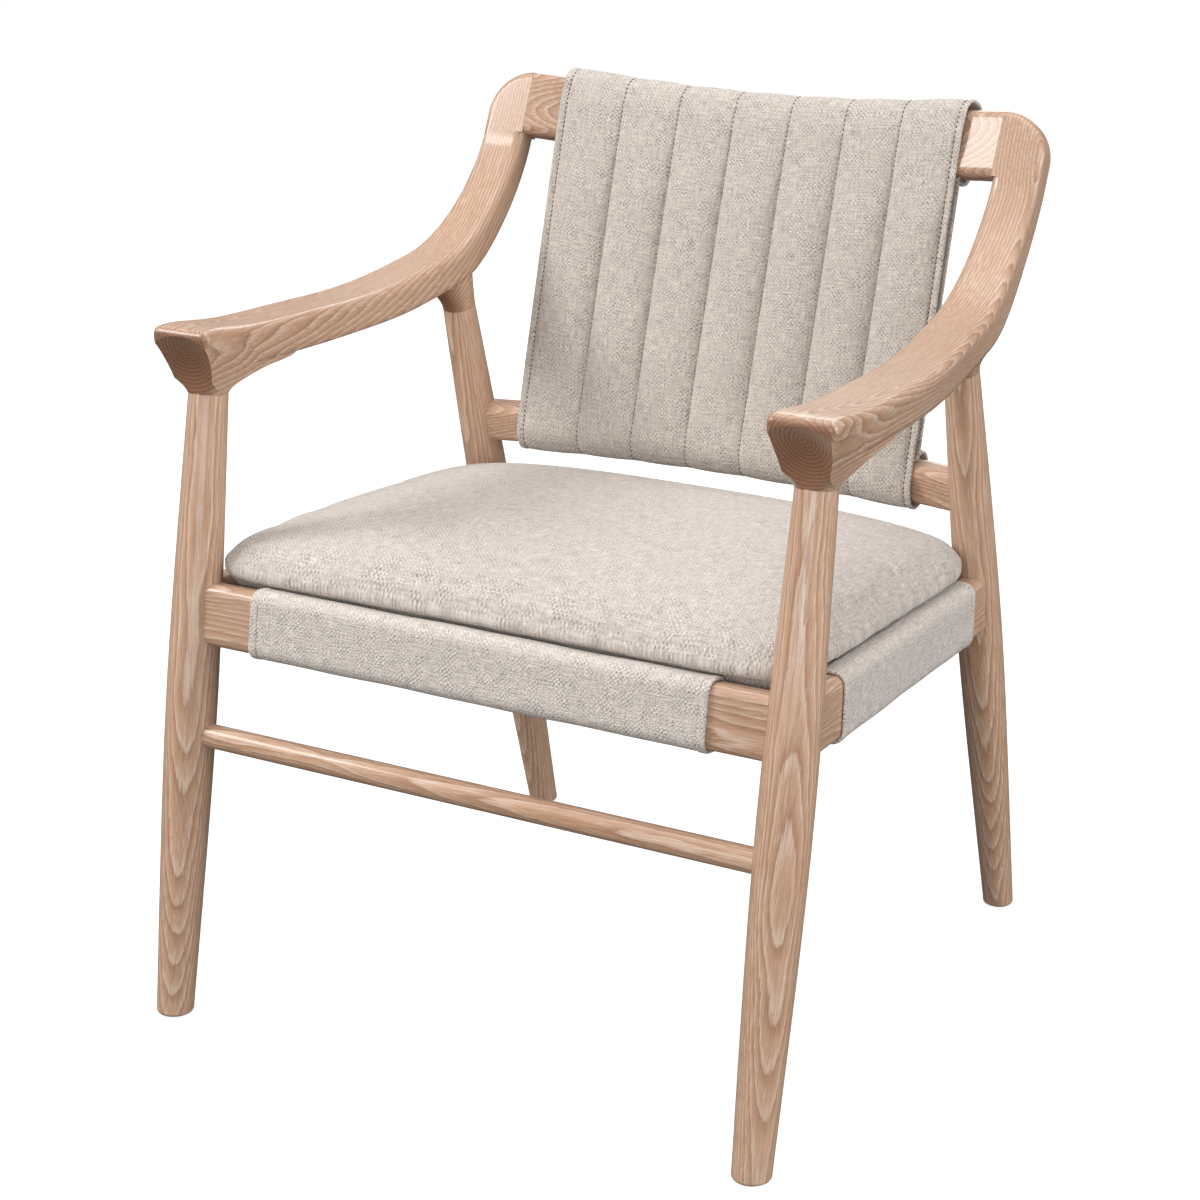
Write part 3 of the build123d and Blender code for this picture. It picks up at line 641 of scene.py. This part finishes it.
def sling_path(x):
    """Middle of the front cloth in the side view, from under the crest rail, up behind it, over it,
    down the front to the lower rail, round under it and up behind it. Also marks the panel."""
    crest = crest_frame(x)
    lower = lower_frame(x)
    crest_loop = crest_loop_at(x)
    back_of_panel = cloth + sling_gap

    # the panel leaves the crest rail and meets the lower rail along their common tangent
    start_spot = crest_loop["front_bottom"]
    end_spot = lower_loop["front_top"]
    start = Vector(place(crest, [start_spot[:2]])[0])
    end = Vector(place(lower, [end_spot[:2]])[0])
    run = end - start
    share = (start_spot[2] - end_spot[2]) / run.length
    down = run.normalized()
    forward = Vector((down.y, -down.x))
    outward = forward * sqrt(1 - share * share) + down * share
    leave = angle_in(crest, outward)
    meet = angle_in(lower, outward)

    centre_back, centre_up, radius = crest_loop["rear_bottom"]
    spots = [(start_spot[0] - start_spot[2] + back_of_panel, centre_up - radius)]
    spots += line(spots[0], (centre_back, centre_up - radius), 4)
    spots += corner_arc(crest_loop["rear_bottom"], -90, 0, 8)
    spots += line(spots[-1], (spots[-1][0], crest_loop["rear_top"][1]), 7)
    spots += corner_arc(crest_loop["rear_top"], 0, 90, 9)
    spots += corner_arc(crest_loop["front_top"], 90, 180, 9)
    spots += line(spots[-1], (spots[-1][0], start_spot[1]), 10)
    spots += corner_arc(start_spot, 180, leave, 4)
    first = place(crest, spots)

    spots = corner_arc(end_spot, meet, 180, 8)
    spots += line(spots[-1], (spots[-1][0], lower_loop["front_bottom"][1]), 3)
    spots += corner_arc(lower_loop["front_bottom"], 180, 270, 8)
    spots += corner_arc(lower_loop["rear_bottom"], 270, 360, 8)
    spots += line(spots[-1], (spots[-1][0], lower_loop["rear_top"][1]), 4)
    spots += corner_arc(lower_loop["rear_top"], 0, 90, 7)
    spots += line(spots[-1], (end_spot[0] - end_spot[2] + back_of_panel + 2 * mm, spots[-1][1]), 3)
    last = place(lower, spots)
    panel = line(first[-1], last[0], 64)
    marks = (len(first), len(first) + len(panel))
    return first + panel + last, marks


def angle_in(frame_at, way):
    """Angle of a side-view direction in a rail's own rear and up directions, in degrees."""
    back, up = frame_at[1:]
    rise = way.x * up.y + way.y * up.z
    run = way.x * back.y + way.y * back.z
    return np.degrees(np.arctan2(rise, run)) % 360


def side_normals(points):
    """Unit normals of a path in the side view, to its left."""
    points = np.asarray(points)
    way = np.gradient(points, axis=0)
    way /= np.linalg.norm(way, axis=1)[:, None]
    return np.stack([-way[:, 1], way[:, 0]], 1)


def channel_shape(x):
    """Rise of the quilted channels at x, from 0 at a seam to 1 in the middle, flat in the hems."""
    if abs(x) >= inner:
        return 0.12
    share = (x + inner) / (2 * inner) * channels
    across = share - np.floor(share)
    return float((1 - (2 * across - 1) ** 2) ** 0.62)


# columns of the mesh across the cloth: three in each hem, and closer together at the seams
hem_columns = [sling_half - 0.6 * mm, sling_half - 2 * mm, sling_half - 4.5 * mm]
columns = [-x for x in hem_columns]
for k in range(channels):
    low = -inner + 2 * inner * k / channels
    high = -inner + 2 * inner * (k + 1) / channels
    steps = (1 - np.cos(np.linspace(0, pi, per_channel + 1))) / 2
    columns += list(low + (high - low) * steps[:-1])
columns += [inner, *reversed(hem_columns)]


def quilt_weight(count, marks):
    """How strongly the channels show along the path: full on the panel, faint over the rails."""
    start, end = marks
    weight = np.zeros(count)
    for i in range(count):
        if i < start - over_top:
            weight[i] = 0.14
        elif i < start:
            weight[i] = 0.14 + 0.28 * (i - start + over_top) / over_top
        elif i < end:
            t = (i - start) / (end - start)
            weight[i] = 0.42 + 0.58 * min(1.0, 4 * t) * min(1.0, 4 * (1 - t))
        else:
            weight[i] = max(0.12, 0.42 - 0.02 * (i - end))
    return weight


def build_front():
    """The front cloth with its quilted channels and rounded hems, as one closed shell."""
    outer, inside, lengths = [], [], []
    for x in columns:
        path, marks = sling_path(x)
        path = np.asarray(path)
        normal = side_normals(path)
        weight = quilt_weight(len(path), marks)
        half = half_cloth(sling_half - abs(x))
        hem = 0.5 * mm if abs(x) > inner else 0.0
        groove = -0.9 * mm if abs(abs(x) - inner) < 0.5 * mm else 0.0
        rise = channel_rise * channel_shape(x) * weight + (hem + groove)
        face = path - normal * (half + rise)[:, None]
        rear = path + normal * half
        outer.append([(x, y, z) for y, z in face])
        inside.append([(x, y, z) for y, z in rear])
        lengths.append(lengths_along(path))
    outer, inside, lengths = np.array(outer), np.array(inside), np.array(lengths)
    rows = shell(outer, inside, east_push)
    across = np.concatenate([columns, [sling_half], columns[::-1], [-sling_half]])
    along = np.concatenate([lengths, lengths[-1:], lengths[::-1], lengths[:1]]).T
    uv = np.stack([np.broadcast_to(across, along.shape), along], 2)
    return rows, uv, outer, marks, float(lengths[len(columns) // 2][-1])


rows, uv, sling_face, marks, sling_length = build_front()
sling_front = link("back_sling_front", grid_mesh("back_sling_front", rows, uv), back_cloth)


def build_rear():
    """The rear cloth of the back, from under the crest rail to the top of the lower rail."""
    faces, backs = [], []
    for x in columns:
        path, (start, end) = sling_path(x)
        normal = side_normals(path)[start:end]
        middle = np.asarray(path)[start:end] + normal * (sling_gap + cloth)
        half = half_cloth(sling_half - abs(x))
        face = middle - normal * half
        back = middle + normal * (half + rear_rise * channel_shape(x))
        faces.append([(x, y, z) for y, z in face])
        backs.append([(x, y, z) for y, z in back])
    rows = shell(np.array(faces), np.array(backs), east_push)
    across = np.concatenate([columns, columns[-1:], columns[::-1], columns[:1]])
    along = lengths_along(rows[:, 0])
    uv = np.stack(np.broadcast_arrays(across[None, :], along[:, None]), 2)
    return rows, uv, float(along[-1])


rows, uv, rear_length = build_rear()
sling_rear = link("back_sling_rear", grid_mesh("back_sling_rear", rows, uv), back_cloth)
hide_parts("back_sling")


def face_run(face, column, first, last):
    """A run along one column of the sling's face, with its outward normals."""
    points = face[column][first:last]
    normal = -side_normals(points[:, 1:])
    return points, np.concatenate([np.zeros((len(points), 1)), normal], 1)


seam_columns = [len(hem_columns) + per_channel * k for k in range(channels + 1)]
first_seen = marks[0] - over_top
last_seen = marks[1] + past_panel
runs = [face_run(sling_face, column, first_seen, last_seen) for column in seam_columns]
seam_stitches = stitches("back_seam_stitches", runs, 4.6 * mm, 3.0 * mm, 0.9 * mm, thread)


# ---------------------------------------------------------------- sleeves on the seat rails
sleeve_hem = 8 * mm
hem_cuts = [0.3 * mm, 1.0 * mm, 2.2 * mm, 4 * mm, sleeve_hem - 1.2 * mm, sleeve_hem - 0.5 * mm,
            sleeve_hem, sleeve_hem + 0.5 * mm, sleeve_hem + 1.4 * mm]


def rail_sleeve(name, start, end, up, inwards, node):
    """Cloth wrapped round a seat rail, hemmed at both ends and open along the inner face."""
    way = (end - start).normalized()
    length = (end - start).length
    t = rail_thickness / 2 - rail_edge
    h = rail_height / 2 - rail_edge
    r = rail_edge + (ease + cloth / 2)
    # profile in (inwards, up): inner lip, top, outer face, bottom, inner lip
    spots = arc((t, h), r, 15, 90, 7)
    spots += line((t, h + r), (-t, h + r), 3)
    spots += arc((-t, h), r, 90, 180, 8)
    spots += line((-t - r, h), (-t - r, -h), 10)
    spots += arc((-t, -h), r, 180, 270, 8)
    spots += line((-t, -h - r), (t, -h - r), 3)
    spots += arc((t, -h), r, 270, 345, 7)
    spots = np.array(spots)
    normal = -side_normals(spots)
    along = lengths_along(spots)
    middle = list(np.linspace(sleeve_hem + 5 * mm, length - sleeve_hem - 5 * mm, 60))
    stations = hem_cuts + middle + [length - c for c in reversed(hem_cuts)]
    outer, inside = [], []
    for s in stations:
        from_end = min(s, length - s)
        half = half_cloth(from_end, 0.06)
        proud = 0.7 * mm if from_end < sleeve_hem - 0.4 * mm else 0.0
        groove = -0.7 * mm if abs(from_end - sleeve_hem) < 0.4 * mm else 0.0
        wave = 0.25 * mm * np.sin(31 * s + along / 0.015) + 0.2 * mm * sin(67 * s + 1.3)
        swell = np.where(from_end > sleeve_hem, wave, 0.0)
        face = spots + normal * (half + proud + groove + swell)[:, None]
        rear = spots - normal * half
        base = start + way * s
        outer.append([tuple(base + inwards * a + up * b) for a, b in face])
        inside.append([tuple(base + inwards * a + up * b) for a, b in rear])
    outer, inside = np.array(outer), np.array(inside)
    rows = shell(outer, inside, np.array(way) * 0.3 * mm)
    across = np.concatenate([stations, [length], stations[::-1], [0]])
    uv = np.stack(np.broadcast_arrays(across[None, :], along[:, None]), 2)
    piece = link(name, grid_mesh(name, rows, uv), rail_cloth)
    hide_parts(node)
    # one row of stitches along each hem, clear of the inner lips
    normals = np.array([tuple(inwards * a + up * b) for a, b in normal[3:-3]])
    seam = hem_cuts.index(sleeve_hem)
    runs = [(outer[station][3:-3], normals) for station in (seam, len(stations) - 1 - seam)]
    sewn = stitches(name + "_stitches", runs, 3.6 * mm, 2.5 * mm, 0.6 * mm, thread)


front_joint = leg_point(front_foot, front_head, front_rail_z)
rear_joint = leg_point(rear_foot, rear_head, rear_rail_z)
side_way = (rear_joint - front_joint).normalized()
side_up = (Vector((0, 0, 1)) - side_way * side_way.z).normalized()
side_in = side_up.cross(side_way)


def rail_at(y):
    """Point of the right side rail's middle line at a given depth."""
    share = (y - front_joint.y) / (rear_joint.y - front_joint.y)
    return front_joint + (rear_joint - front_joint) * share


def mirror(vector):
    """The same vector on the left side of the chair."""
    return Vector((-vector.x, vector.y, vector.z))


front_middle = Vector((0, front_joint.y, front_joint.z))
rear_middle = Vector((0, rear_joint.y, rear_joint.z))
front_reach = east * front_sleeve_half
rear_reach = east * rear_sleeve_half
rail_sleeve("front_sleeve", front_middle - front_reach, front_middle + front_reach, front_up,
            -east.cross(front_up), "front_rail_sleeve")
rail_sleeve("rear_sleeve", rear_middle - rear_reach, rear_middle + rear_reach, rear_up,
            east.cross(rear_up), "rear_rail_sleeve")
side_start = rail_at(side_sleeve_y[0])
side_end = rail_at(side_sleeve_y[1])
rail_sleeve("side_sleeve_right", side_start, side_end, side_up, side_in,
            "side_rail_sleeve_right")
rail_sleeve("side_sleeve_left", mirror(side_start), mirror(side_end), side_up, mirror(side_in),
            "side_rail_sleeve_left")

# ---------------------------------------------------------------- seat cushion
# corners of the outline before its sides are bowed, each with its radius
cushion_corners = [(-0.284, -0.235, 0.040), (0.284, -0.235, 0.040),
                   (0.266, 0.188, 0.045), (-0.266, 0.188, 0.045)]
cushion_centre = np.array([0.0, -0.023])
cushion_half_width = 0.275
cushion_half_depth = 0.209
cushion_taper = 0.043
side_bow = 11 * mm
side_bow_reach = 0.21
cushion_crown = 55 * mm
crown_tilt = 0.035
pillow_power = 2.8
cushion_side = 18 * mm
sag = 13 * mm
sag_slope = 8 * mm


def seat_plane(y):
    """Height of the plane the cushion rests on."""
    return seat_front_z - seat_slope * (y - seat_front_y)


def cushion_outline(count):
    """Rounded outline of the cushion in plan, anticlockwise, narrower at the rear, sides bowed."""
    points = []
    for i, (x, y, radius) in enumerate(cushion_corners):
        before = Vector(cushion_corners[i - 1][:2])
        after = Vector(cushion_corners[(i + 1) % 4][:2])
        here = Vector((x, y))
        start = here - (here - before).normalized() * radius
        end = here + (after - here).normalized() * radius
        for t in np.linspace(0, 1, 9):
            points.append(tuple(start * (1 - t) ** 2 + here * (2 * t * (1 - t)) + end * t ** 2))
    closed = np.array(points + points[:1])
    along = lengths_along(closed)
    where = np.linspace(0, along[-1], count, endpoint=False)
    outline = np.stack([np.interp(where, along, closed[:, k]) for k in range(2)], 1)
    from_middle = (outline[:, 1] - cushion_centre[1]) / side_bow_reach
    outline[:, 0] += np.sign(outline[:, 0]) * side_bow * np.maximum(0, 1 - from_middle ** 4)
    return outline


def cushion_height(x, y, share):
    """Height of the cushion's upper face over the seat plane; share is 1 at the outline."""
    behind = y - cushion_centre[1]
    across = min(1.0, abs(x) / (cushion_half_width + side_bow - cushion_taper * behind))
    along = min(1.0, abs(behind) / cushion_half_depth)
    pillow = (1 - across ** pillow_power) ** 0.5 * (1 - along ** pillow_power) ** 0.46
    from_edge = min(1.0, max(0.0, 1 - share) / 0.045)
    edge = cushion_side * sqrt(1 - 0.6 * (1 - from_edge) ** 2)
    return edge + (cushion_crown + crown_tilt * behind - cushion_side) * pillow


def rest_height(x, y):
    """Underside of the cushion: on the rails at its edge, and sunk onto the webbing inside them."""
    wrap = rail_thickness / 2 + 3 * mm
    gaps = (rail_at(y).x - wrap - abs(x), y - front_joint.y - wrap, rear_joint.y - wrap - y)
    t = min(1.0, max(0.0, min(gaps) / sag_slope))
    return seat_plane(y) + 0.8 * mm - sag * t * t * (3 - 2 * t)


def cushion_mesh():
    """Crowned cushion: rings of the outline drawn in towards the middle, under and over."""
    outline = cushion_outline(180)
    # share of the outline's size, and height over the rest in millimetres
    under = [(0.5, 0), (0.8, 0), (0.83, 0), (0.86, 0), (0.885, 0), (0.905, 0), (0.925, 0), (0.945, 0),
             (0.962, 0), (0.978, 0.2), (0.992, 1.0), (1.002, 3.0), (1.006, 7.0)]
    over = [1.003, 0.995, 0.986, 0.975, 0.955, 0.93, 0.89, 0.84, 0.78, 0.70, 0.6, 0.48, 0.36, 0.24,
            0.12]
    rings = []
    for share, height in under:
        around = cushion_centre + (outline - cushion_centre) * share
        rings.append([(x, y, rest_height(x, y) + height * mm) for x, y in around])
    for share in over:
        around = cushion_centre + (outline - cushion_centre) * share
        rings.append([(x, y, seat_plane(y) + cushion_height(x, y, share)) for x, y in around])
    verts = [spot for ring in rings for spot in ring]
    n = len(outline)
    faces = ring_faces(len(rings), n)
    x, y = cushion_centre
    bottom = len(verts)
    verts.append((x, y, rest_height(x, y)))
    verts.append((x, y, seat_plane(y) + cushion_height(x, y, 0)))
    for j in range(n):
        k = (j + 1) % n
        faces.append((bottom, k, j))
        faces.append((bottom + 1, (len(rings) - 1) * n + j, (len(rings) - 1) * n + k))
    mesh = bpy.data.meshes.new("seat_cushion")
    mesh.from_pydata(verts, [], faces)
    finish_faces(mesh)
    return mesh


def apply_modifiers(piece):
    """Bakes a piece's modifiers into its mesh."""
    graph = bpy.context.evaluated_depsgraph_get()
    mesh = bpy.data.meshes.new_from_object(piece.evaluated_get(graph))
    piece.modifiers.clear()
    piece.data = mesh


def coordinates(mesh):
    """Vertex positions of a mesh as an array."""
    flat = np.empty(len(mesh.vertices) * 3, dtype=np.float32)
    mesh.vertices.foreach_get("co", flat)
    return flat.reshape(-1, 3).astype(float)


def set_coordinates(mesh, spots):
    """Moves the vertices of a mesh."""
    mesh.vertices.foreach_set("co", spots.astype(np.float32).ravel())
    mesh.update()


def puff(piece, cap, voxel, pressure):
    """Inflates a piece with the cloth simulation, and holds every point within cap of its start."""
    remesh = piece.modifiers.new("remesh", "REMESH")
    remesh.mode = "VOXEL"
    remesh.voxel_size = voxel
    remesh.use_smooth_shade = True
    apply_modifiers(piece)
    start = coordinates(piece.data)
    normals = np.array([tuple(vertex.normal) for vertex in piece.data.vertices])
    cloth_sim = piece.modifiers.new("cloth", "CLOTH")
    settings = cloth_sim.settings
    settings.use_pressure = True
    settings.uniform_pressure_force = pressure
    settings.effector_weights.gravity = 0
    settings.quality = 6
    settings.tension_stiffness = 18
    settings.compression_stiffness = 18
    settings.bending_stiffness = 1.2
    for step in range(1, 21):
        scene.frame_set(step)
    apply_modifiers(piece)
    scene.frame_set(1)
    moved = coordinates(piece.data) - start
    outward = np.maximum(0, np.sum(moved * normals, axis=1))[:, None] * normals
    moved = outward + 0.25 * (moved - outward)
    far = np.linalg.norm(moved, axis=1)[:, None]
    limit = cap * np.tanh(far / cap) / np.maximum(far, 1e-9)
    set_coordinates(piece.data, start + moved * limit)


def settle(piece, height_at):
    """Lifts the points of a piece that would sink below what it rests on."""
    spots = coordinates(piece.data)
    rest = np.array([height_at(x, y) for x, y in spots[:, :2]])
    spots[:, 2] = np.maximum(spots[:, 2], rest)
    set_coordinates(piece.data, spots)


cushion = link("seat_cushion", cushion_mesh(), seat_cloth)
puff(cushion, 6 * mm, 4.8 * mm, 4.0)
settle(cushion, rest_height)
smooth = cushion.modifiers.new("smooth", "SUBSURF")
smooth.levels = 1
smooth.render_levels = 1
apply_modifiers(cushion)
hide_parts("seat_cushion_cover", "seat_cushion_foam")

# ---------------------------------------------------------------- floor
reach = 60.0
floor_corners = [(-reach, -reach, 0), (reach, -reach, 0), (reach, reach, 0), (-reach, reach, 0)]
floor_mesh = bpy.data.meshes.new("floor")
floor_mesh.from_pydata(floor_corners, [], [(0, 1, 2, 3)])
floor = bpy.data.objects.new("floor", floor_mesh)
scene.collection.objects.link(floor)
floor_look = Graph("floor_paper")
paper = floor_look.noise(floor_look.node("ShaderNodeTexCoord", output=3), 300, 2.0)
paper = floor_look.mix(paper, (0.30, 0.30, 0.30, 1), (0.31, 0.31, 0.31, 1))
floor_look.set(Base_Color=paper, Roughness=0.9)
floor_look.set(Emission_Color=(1, 1, 1, 1), Emission_Strength=0.86, Specular_IOR_Level=0.0)
floor_mesh.materials.append(floor_look.material)
floor.visible_diffuse = False
floor.visible_glossy = False
